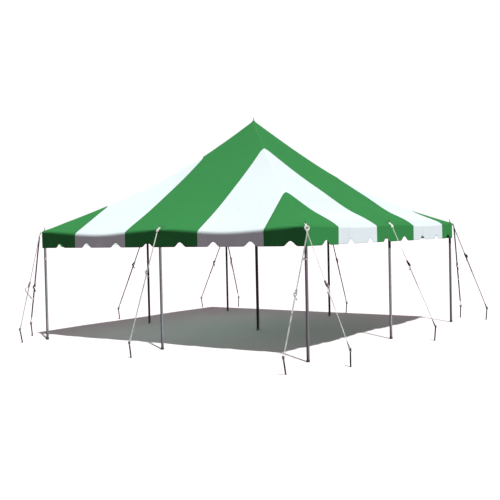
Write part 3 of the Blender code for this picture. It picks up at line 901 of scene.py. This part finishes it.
def collar(net, tree, slot):
    """A small cloth cap that closes round the centre pole's pin and lies on the peak."""
    steps = 40
    rings = []
    for radius, lift in (
        (0.0075, -0.004), (0.0080, 0.004), (0.0115, 0.0055), (0.0150, 0.0035),
        (0.0200, 0.0060), (0.0300, 0.0030), (0.0430, 0.0018), (0.0445, -0.0006),
    ):
        ring = []
        for step in range(steps):
            angle = 2 * math.pi * step / steps
            x, y = radius * math.cos(angle), radius * math.sin(angle)
            place = Vector((x, y, PEAK_HEIGHT + lift))
            if radius > 1.2 * PEAK_HOLE:
                place, _ = drape(tree, x, y, lift)
            ring.append(net.point(place, (radius, angle * radius)))
        rings.append(ring)
    net.strips(rings, slot)


def make_reinforcements(tree):
    """Patches and eyelets at every pole, and the collar and its washer at the peak."""
    cloth, metal = Net(), Net()
    for pole in POLES.values():
        patch(cloth, tree, pole)
        grommet(metal, *drape(tree, pole.x, pole.y, 0.0028))
    collar(cloth, tree, 1)
    turned(metal, [
        (0.0062, 0.003), (0.0062, 0.008), (0.0100, 0.0085), (0.0115, 0.0070),
        (0.0115, 0.0055), (0.0100, 0.0045),
    ], Matrix.Translation((0, 0, PEAK_HEIGHT)))
    cloth.piece("canopy_patches", ["green_seam", "green"], "green_vinyl", 50)
    metal.piece("canopy_eyelets", ["plated"], "pole_steel", 60)


def make_underside():
    """Webbing sewn under the hips and round the eave, inside."""
    net = Net()
    aside, tape = 0.0168, 0.012
    for corner in range(4):
        across = ((corner, 1, aside), (corner, 1, 0.0), ((corner + 1) % 4, -1, aside))
        sections = []
        for step in range(101):
            out = BAY * mix(0.02, 0.985, step / 100)
            sections.append([
                roof_point(side, hand * (out - shift), out + shift) - UP * 0.0055
                for side, hand, shift in across
            ])
        rings = []
        for section, length in zip(sections, lengths([middle for _, middle, _ in sections])):
            spots = section + [place - UP * 0.002 for place in reversed(section)]
            rings.append(net.ring(spots, length, [tape * share for share in (0, 1, 2, 2, 1, 0)]))
        net.strips(rings)
    for side in range(4):
        path = []
        for step in range(121):
            across = mix(-END + 0.03, END - 0.03, step / 120)
            x, y = plan(side, across, edge_out(side, across) - 0.0075)
            path.append(Vector((x, y, shoulder_point(side, across).z - 0.040)))
        ribbon(net, path, 0.045, 0.0022, UP)
    net.piece("canopy_webbing", ["strap"], "webbing", 50)


roof, roof_grids = make_roof()
bpy.context.view_layer.update()
roof_tree = BVHTree.FromObject(roof, bpy.context.evaluated_depsgraph_get())
seams = make_seams(roof_grids)
valance, valance_hem = make_valance()
make_reinforcements(roof_tree)
make_underside()

roof_nodes = [f"centre_panel_{side}" for side in SIDES]
roof_nodes += [f"{kind}_panel_{corner}" for kind in ("hip", "corner") for corner in CORNERS]
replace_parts(roof, *roof_nodes)
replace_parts(valance, *[f"valance_{side}" for side in SIDES])


# Guys and stakes

STRAP_WIDTH = 0.0275
NARROW_STRAP = 0.023            # the white ones
STRAP_THICKNESS = 0.0019
STAKE_RADIUS = 0.0122
GROUND_GAP = 0.0004
SPOOL = (-0.012, 0.004)         # from a buckle's middle, along the strap and away from it

GUY_PAINTS = [
    "tab", "rope", "plated", "grip", "strap", "shade_grey_strap", "shade_dark_strap", "black_steel",
]
TAB, ROPE, PLATED, GRIP, WHITE_LINE, SHADE_GREY_LINE, SHADE_DARK_LINE, BLACK_STEEL = range(8)
# The guys' webbing tones: white at the front, grey on the right and near black elsewhere, where
# the dark is painted shade.
LINE_TONES = {
    "front": WHITE_LINE, "front_right_front": WHITE_LINE, "front_right_right": WHITE_LINE,
    "front_left_front": WHITE_LINE, "right": SHADE_GREY_LINE,
}
# Where they aren't the usual ones: the loose end's length and curl, the width and the drop of
# a side's webbing tab, and the radius, the cord's radius and the finish of a corner's rope ring
TAILS = {"front_left_front": (0.30, 1.6), "back_left_back": (0.22, 1.4)}
TABS = {"front": (0.056, 0.034), "right": (0.088, 0.046)}
CORNER_RINGS = {"front_right": (0.033, 0.0135, ROPE), "front_left": (0.026, 0.0075, ROPE)}
# How many points of the upper strap take the tab paint, a painted highlight
BRIGHT_POINTS = {"front": 4, "right": 6}


def stake_axis(place, height):
    """The middle of a stake at a height, as it leans away from its pole."""
    x, y, lean, _, _ = STAKES[place]
    pole = next((corner for corner in CORNERS if place.startswith(corner)), place)
    away = (Vector((x, y)) - POLES[pole]).normalized()
    return (Vector((x, y)) + away * (lean * height / STAKE_HEIGHT)).to_3d() + UP * height


def make_stake(place):
    """A forged steel stake with a beaten head."""
    foot = stake_axis(place, 0.0)
    top = stake_axis(place, STAKE_HEIGHT)
    length = (top - foot).length
    up = (top - foot).normalized()
    side = up.orthogonal().normalized()
    base = 0.0006 + STAKE_RADIUS * math.hypot(up.x, up.y) / up.z
    profile = [(0.0, base), (STAKE_RADIUS, base)]
    for step in range(1, 16):
        profile.append((0.0123 + 0.0003 * math.sin(step * 2.1), length * 0.92 * step / 15))
    profile += [(radius, length - below) for radius, below in (
        (0.0128, 0.0180), (0.0160, 0.0135), (0.0190, 0.0110), (0.0197, 0.0075),
        (0.0190, 0.0038), (0.0155, 0.0012), (0.0090, 0.0002), (0.0, 0.0),
    )]
    net = Net()
    turned(net, profile, axes(foot, side, up.cross(side), up), 0, 24)
    for number, (x, y, z) in enumerate(net.points):
        beaten = noise.noise(Vector((x * 90, y * 90, z * 45))) * 0.0007
        if z > 0.010:
            net.points[number] = (x + beaten, y - beaten, z)
        else:
            slide = up * ((GROUND_GAP - z) / up.z)
            net.points[number] = (x + slide.x, y + slide.y, GROUND_GAP)
    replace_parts(net.piece(f"peg_{place}", ["stake"], "stake_steel", 50), f"stake_{place}")


def ratchet(net, centre, wide, along, through, strap, steel):
    """A ratchet buckle. Outlines run along the strap, to the stake, and away from it."""
    def spot(y, z):
        return centre + along * y + through * z

    frame_outline = (
        arc((-0.046, 0.0), 0.0095, 90, 270, 6) + [(-0.010, -0.0115), (0.020, -0.0100)]
        + arc((0.046, 0.0), 0.0080, -90, 90, 6)
        + [(0.020, 0.0080), (0.000, 0.0150), (-0.016, 0.0150)]
    )
    handle = (
        arc(SPOOL, 0.0125, 100, 260, 8) + [(0.022, 0.0050), (0.050, 0.0120)]
        + arc((0.060, 0.0165), 0.0050, -80, 90, 5) + [(0.030, 0.0180)]
    )
    gear = []
    for tooth in range(12):
        for reach, share in ((0.0100, 0.0), (0.0128, 0.45), (0.0100, 0.55)):
            angle = 2 * math.pi * (tooth + share) / 12
            gear.append((SPOOL[0] + reach * math.cos(angle), SPOOL[1] + reach * math.sin(angle)))
    for hand in (-1, 1):
        for outline, x, thickness, bevel in (
            (frame_outline, 0.0150, 0.0016, 0.0006), (gear, 0.0132, 0.0014, 0.0002),
            (handle, 0.0172, 0.0014, 0.0006),
        ):
            at = axes(centre + wide * (hand * x), along, through, wide)
            plate(net, outline, thickness, at, steel, bevel)
    for place, radius in (((-0.046, 0.0), 0.0036), ((0.046, 0.0), 0.0034), (SPOOL, 0.0055)):
        rod = [spot(*place) + wide * x for x in (-0.0185, 0.0185)]
        tube(net, rod, radius, steel, sides=14)
    bar = [spot(0.060, 0.0165) + wide * x for x in (-0.0205, -0.017, 0.017, 0.0205)]
    tube(net, bar, [0.0052, 0.0064, 0.0064, 0.0052], GRIP, sides=14)
    pawl = [(-0.013, -0.008), (0.013, -0.008), (0.013, 0.010), (-0.013, 0.010)]
    plate(net, pawl, 0.0018, axes(spot(0.012, 0.006), wide, along, through), steel)
    coil = []
    for step in range(45):
        angle = 2 * math.pi * step / 16
        radius = 0.0062 + 0.0019 * step / 16
        coil.append(spot(SPOOL[0] + radius * math.cos(angle), SPOOL[1] + radius * math.sin(angle)))
    ribbon(net, coil, 0.0235, 0.0017, wide, strap)


def loop_round(net, apex, middle, wide, along, strap):
    """The teardrop of strap that goes round a stake, under its head."""
    radius = 0.0230
    sides = [[mix(apex, middle + wide * (hand * radius), step / 8) for step in range(8)]
             for hand in (1, -1)]
    bend = []
    for step in range(13):
        angle = math.pi * step / 12
        bend.append(middle + (wide * math.cos(angle) + along * math.sin(angle)) * radius)
    path = sides[0] + bend + sides[1][:0:-1]
    ribbon(net, path, 0.016, 0.0050, wide.cross(along).normalized(), strap, closed=True)


def strap_tail(net, start, along, wide, length, curl, strap, seed):
    """The loose end of a strap, hanging from its buckle."""
    sideways = Vector((along.x, along.y, 0)).normalized()
    path, widths = [], []
    steps = 22
    for step in range(steps + 1):
        share = step / steps
        swing = 0.055 * curl * math.sin(share * 2.6 * curl) * math.exp(-share * 0.6)
        place = start - UP * (length * (share - 0.05 * math.sin(math.pi * share)))
        place += sideways * swing + wide * (0.020 * curl * math.sin(share * 5.0 + seed))
        path.append(place)
        turn = 0.9 * math.sin(share * 3.0 + seed)
        widths.append((wide * math.cos(turn) + sideways * math.sin(turn)).normalized())
    ribbon(net, path, 0.0235, 0.0018, widths, strap)


def guy_line(net, place, start, seed):
    """One guy from its fitting down to its stake: strap, buckle, doubled strap, ring, loop."""
    # Each line's webbing copy: the grey and dark ones are painted shade.
    strap = LINE_TONES.get(place, SHADE_DARK_LINE)
    width, steel = STRAP_WIDTH, BLACK_STEEL
    if strap == WHITE_LINE:
        width, steel = NARROW_STRAP, PLATED
    middle = stake_axis(place, STAKE_HEIGHT - STAKE_HEAD_HEIGHT - LOOP_BELOW_HEAD)
    whole = (middle - start).length
    along = (middle - start).normalized()
    wide = Vector((along.y, -along.x, 0)).normalized()
    through = wide.cross(along).normalized()
    if through.z < 0:
        wide, through = -wide, -through
    buckle_share, link_share = STAKES[place][3:]
    buckle = start + along * (whole * buckle_share)
    link = start + along * (whole * link_share)
    apex = middle - along * 0.15
    spool = buckle + along * SPOOL[0] + through * SPOOL[1]
    bar = buckle + along * 0.046

    def lay(points, tone=strap):
        """A strap through points of (place, further along, away from it)."""
        path = [place + along * a + through * b for place, a, b in points]
        ribbon(net, path, width, STRAP_THICKNESS, wide, tone)

    upper = [(start, whole * buckle_share * step / 10, 0) for step in range(10)]
    upper += [(spool, -0.030, -0.006), (spool, 0, -0.0095)]
    bright = BRIGHT_POINTS.get(place, 0)
    if bright:
        lay(upper[:bright + 1], TAB)
    lay(upper[bright:])
    ratchet(net, buckle, wide, along, through, strap, steel)
    for hand in (-1, 1):
        lay([(bar, -0.002, hand * 0.0042)] + [
            (mix(bar, link, share), 0, hand * gap)
            for share, gap in ((0.08, 0.0042), (0.5, 0.0036), (0.92, 0.0040), (1, 0.0044))
        ])
    ring = [
        link + wide * (x * 0.019) + along * (0.006 + y * 0.014)
        for x, y in ((-1, 0), (-0.9, 0.7), (0, 1.3), (0.9, 0.7), (1, 0), (0.9, -0.5), (-0.9, -0.5))
    ]
    tube(net, ring, 0.0030, steel, closed=True, sides=8)
    lay([
        (link, 0.020, 0.0012), (mix(link, apex, 0.3), 0, 0.0012),
        (mix(link, apex, 0.7), 0, 0.0012), (apex, 0.004, 0),
    ])
    lay([(link, 0.018, -0.0026), (link, 0.05, -0.0012), (link, 0.13, -0.0010)])
    loop_round(net, apex, middle, wide, along, strap)
    length, curl = TAILS.get(place, (0.13 + 0.02 * (seed % 3), 1.0))
    strap_tail(net, spool + through * 0.012, along, wide, length, curl, strap, seed)


def over_edge(tree, pole, direction, reach):
    """Points of a webbing tab that runs over the roof from a spike to the eave."""
    places = [pole + direction * mix(0.004, reach, step / 4) for step in range(5)]
    return [drape(tree, place.x, place.y, 0.0045)[0] for place in places]


def spike_ring(net, tree, pole, level, radius, wire, slot):
    """A ring dropped over a spike, drawn down on its outer side."""
    spot, normal = drape(tree, pole.x, pole.y, 0.009)
    lean = (normal + level * 0.25).normalized()
    side = lean.orthogonal().normalized()
    path = circle(spot + level * (radius * 0.45), side * radius, lean.cross(side) * radius, 28)
    tube(net, path, wire, slot, closed=True, sides=12)


def finish_guys(net, name, node):
    """Turn a net of guys into a piece, which throws no shadow."""
    piece = net.piece(name, GUY_PAINTS, "webbing", 45)
    piece.visible_shadow = False
    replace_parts(piece, node)


def make_middle_guy(number, tree):
    """The guy at the middle of a side: a webbing tab over the spike, then the strap."""
    name = SIDES[number]
    pole = POLES[name]
    direction = Vector(plan(number, 0, 1))
    level = direction.to_3d()
    wide = Vector((-direction.y, direction.x, 0))
    bright = name in BRIGHT_POINTS
    width, drop = TABS.get(name, (0.050, 0.030))
    net = Net()
    points = over_edge(tree, pole, direction, EDGE - POLE_ROLL * 0.5)
    points.append(points[-1] + level * 0.022 - UP * 0.014)
    start = points[-1] + level * 0.016 - UP * drop
    points.append(start)
    # The front and right tabs and rings take the lighter paints; the back and left ones take the
    # dark webbing, a painted shade.
    ribbon(net, points, width, 0.0040, wide, TAB if bright else SHADE_DARK_LINE)
    down = (points[-1] - points[-2]).normalized()
    ring = circle(start + down * 0.006, wide * 0.021, down * 0.012, 18)
    tube(net, ring, 0.0036, PLATED, closed=True, sides=8)
    spike_ring(net, tree, pole, level, 0.0150, 0.0055, ROPE if bright else SHADE_DARK_LINE)
    guy_line(net, name, start - UP * 0.006, number)
    finish_guys(net, f"strap_{name}", f"guy_{name}")


def make_corner_guys(number, tree):
    """The pair of guys at a corner, which hang from one thick rope ring."""
    name = CORNERS[number]
    pole = POLES[name]
    direction = pole.normalized()
    level = direction.to_3d()
    wide = Vector((-direction.y, direction.x, 0))
    # The back corners' rings, links and tabs take the dark webbing, a painted shade.
    radius, cord, tone = CORNER_RINGS.get(name, (0.026, 0.0065, SHADE_DARK_LINE))
    net = Net()
    points = over_edge(tree, pole, direction, (EDGE - POLE_ROLL * 0.4) * math.sqrt(2))
    edge = points[-1]
    points.append(edge + level * 0.020 - UP * 0.012)
    ribbon(net, points, 0.030, 0.0034, wide, TAB if tone == ROPE else tone)
    middle = edge + level * 0.034 - UP * (radius + 0.007)
    up = (UP - level * 0.35).normalized()
    tube(net, circle(middle, wide * radius, up * radius, 32), cord, tone, closed=True, sides=14)
    link = middle - up * (radius + cord + 0.015)
    small = circle(link, wide * 0.012, up * 0.017, 20)
    tube(net, small, 0.0052, tone, closed=True, sides=10)
    spike_ring(net, tree, pole, level, 0.0135, 0.0042, tone)
    for hand, side in ((0, SIDES[number]), (1, SIDES[(number + 1) % 4])):
        guy_line(net, f"{name}_{side}", link - up * 0.016, number + 2 * hand)
    finish_guys(net, f"straps_{name}", f"guys_{name}")


for number in range(4):
    make_middle_guy(number, roof_tree)
    make_corner_guys(number, roof_tree)
for place in STAKES:
    make_stake(place)


# Poles

def tie_rope(net, pole, tail, facing):
    """A rope tied round a pole, with its knot and two short ends."""
    radius = SIDE_POLE_RADIUS + 0.0060
    middle = pole.to_3d() + UP * 1.640
    for turn in range(2):
        first = Vector((radius, 0, 0.003 * math.sin(turn)))
        second = Vector((0, radius, 0.003 * math.cos(turn)))
        loop = circle(middle + UP * (0.0118 * turn), first, second, 24)
        tube(net, loop, 0.0056, 0, closed=True, sides=8)
    toward = Vector((math.cos(facing), math.sin(facing), 0))
    side = Vector((-toward.y, toward.x, 0))
    knot = middle + UP * 0.006 + toward * (SIDE_POLE_RADIUS + 0.014)
    bow = [
        place + toward * (0.003 * math.sin(math.pi * step / 5))
        for step, place in enumerate(circle(knot, side * 0.010, UP * 0.0115, 20))
    ]
    tube(net, bow, 0.0056, 0, closed=True, sides=8)
    for length, swing in ((tail, 0.35), (tail * 0.5, -0.5)):
        shares = [step / 11 for step in range(12)]
        tube(net, [
            knot + toward * (0.010 * math.sin(2.4 * share))
            + side * (swing * length * share * (1 - 0.35 * share))
            - UP * (length * share * (0.45 + 0.55 * share)) for share in shares
        ], 0.0048, 0, sides=8)


def make_pole_fittings():
    """Rubber feet, the boss that carries the cloth, spring buttons and tie ropes."""
    feet, bosses, ties = Net(), Net(), Net()
    size = SIDE_POLE_RADIUS
    outward = Vector((0.82, -0.57, 0))
    for pole in POLES.values():
        at = Matrix.Translation(pole.to_3d())
        turned(feet, [
            (0.0, 0.0008), (size + 0.0044, 0.0008), (size + 0.0056, 0.0040),
            (size + 0.0048, 0.0100), (size + 0.0048, 0.0300), (size + 0.0040, 0.0355),
            (size + 0.0027, 0.0370),
        ], at, 0, 36)
        turned(bosses, [
            (size + 0.0003, 2.1180), (size + 0.0025, 2.1200), (size + 0.0030, 2.1290),
            (size + 0.0010, 2.1350), (0.0160, 2.1440), (0.0100, 2.1530), (0.0068, 2.1620),
        ], at, 0, 36)
        for height in (1.05, 1.095):
            button = pole.to_3d() + UP * height + outward * (size - 0.0006)
            turned(bosses, [
                (0.0042, 0.0), (0.0042, 0.0022), (0.0030, 0.0034), (0.0, 0.0038)
            ], axes(button, outward.cross(UP), UP, outward), 0, 16)
    at = Matrix.Identity(4)
    turned(feet, [
        (0.0, 0.0008), (0.0370, 0.0008), (0.0360, 0.0080), (0.0360, 0.0300), (0.0352, 0.0350),
        (0.0326, 0.0370),
    ], at, 0, 40)
    turned(bosses, [
        (0.0302, 4.330), (0.0330, 4.332), (0.0335, 4.345), (0.0280, 4.353),
        (0.0120, 4.372), (0.0066, 4.382),
    ], at, 0, 40)
    tie_rope(ties, POLES["front_right"], 0.035, -2.2)
    tie_rope(ties, POLES["front_left"], 0.090, -0.6)
    feet.piece("pole_feet", ["foot"], "pole_steel", 50)
    bosses.piece("pole_tops", ["plated"], "pole_steel", 50)
    ties.piece("tie_ropes", ["rope"], "webbing", 60)


make_pole_fittings()
# Which copy of the galvanised paint each pole takes. The right side pole is painted lighter, and
# the front left ones keep the plain paint. The rest are painted darker for shade, near black under
# the cloth and at the back.
POLE_PAINTS = {
    "centre_pole": "shade_painted_pole", "side_pole_back": "shade_painted_pole", "side_pole_left": "shade_painted_pole",
    "corner_pole_back_left": "shade_painted_pole", "corner_pole_front_right": "shade_grey_pole",
    "side_pole_right": "lit_pole_painted_shadow", "corner_pole_back_right": "shaded_pole",
}
for name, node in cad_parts.items():
    if "pole" in name:
        finish = paints[POLE_PAINTS.get(name, "pole")]
        node.data.materials.clear()
        node.data.materials.append(finish)


# Floor, light, camera

def seen_directly(tree):
    """1 for what the camera sees itself, 0 for light on its way between things."""
    return tree.nodes.new("ShaderNodeLightPath").outputs["Is Camera Ray"]


def make_stage():
    """A wide pale floor that throws back less light than it shows, as a matt studio floor."""
    finish = Finish("pale floor", Roughness=0.9)
    place = finish.object_place()
    pale = finish.fade(
        (0.81, 0.75, 0.79), (0.83, 0.77, 0.81), finish.cloud(place, 0.4, 5), 0.3, 0.7
    )
    finish.colour(finish.blend(seen_directly(finish.tree), (0.08, 0.05, 0.07), pale))
    finish.bumps((finish.cloud(place, 60, 3), 0.03, 0.001))
    steps, radius = 96, 160
    mesh = bpy.data.meshes.new("floor")
    ring = circle(Vector(), Vector((radius, 0, 0)), Vector((0, radius, 0)), steps)
    mesh.from_pydata(ring, [], [range(steps)])
    mesh.materials.append(finish.material)
    floor = add_object("floor", mesh)
    floor.visible_shadow = False
    return floor


def add_sun(name, toward, share, angle, floor, on_floor):
    """A distant lamp that lights a white surface square to it to this share of white.

    It shines either on the floor alone, or on everything but the floor.
    """
    sun = bpy.data.lights.new(name, "SUN")
    sun.energy = math.pi * share
    sun.angle = math.radians(angle)
    lamp = add_object(name, sun)
    toward = Vector(toward).normalized()
    lamp.rotation_mode = "QUATERNION"
    lamp.rotation_quaternion = toward.to_track_quat("Z", "Y")
    lamp.location = toward * 20
    group = bpy.data.collections.new(f"{name} and floor")
    group.objects.link(floor)
    state = "INCLUDE" if on_floor else "EXCLUDE"
    group.collection_objects[0].light_linking.link_state = state
    lamp.light_linking.receiver_collection = group


def make_light(floor):
    """Pale air all round, a light above, a low one on the right, and one for the floor."""
    world = bpy.data.worlds.new("studio")
    world.use_nodes = True
    tree = world.node_tree
    back = tree.nodes["Background"]
    tone = tree.nodes.new("ShaderNodeMix")
    tone.data_type = "RGBA"
    tone.inputs[6].default_value = (0.262, 0.225, 0.225, 1.0)
    tone.inputs[7].default_value = (1.0, 1.0, 1.0, 1.0)
    tree.links.new(seen_directly(tree), tone.inputs[0])
    tree.links.new(tone.outputs[2], back.inputs["Color"])
    bpy.context.scene.world = world
    add_sun("high light", (0.0, 0.03, 1.0), 1.12, 4, floor, False)
    add_sun("side light", (1.0, 0.20, -0.70), 0.93, 16, floor, False)
    add_sun("floor light", (0.52, -0.36, 1.0), 1.5, 2, floor, True)


def make_camera():
    """The photograph's view: its place, its angle of view, and its turn, tilt and roll."""
    camera = bpy.data.cameras.new("camera")
    camera.sensor_width = 36
    camera.lens = 59.208
    camera.clip_end = 500
    view = Matrix.Translation((9.7773, -14.2153, 2.1264))
    for degrees, axis in ((34.967, "Z"), (88.566, "X"), (-1.25, "Z")):
        view @= Matrix.Rotation(math.radians(degrees), 4, axis)
    thing = add_object("camera", camera)
    thing.matrix_world = view
    bpy.context.scene.camera = thing


make_light(make_stage())
make_camera()
bpy.context.scene.view_settings.view_transform = "Standard"
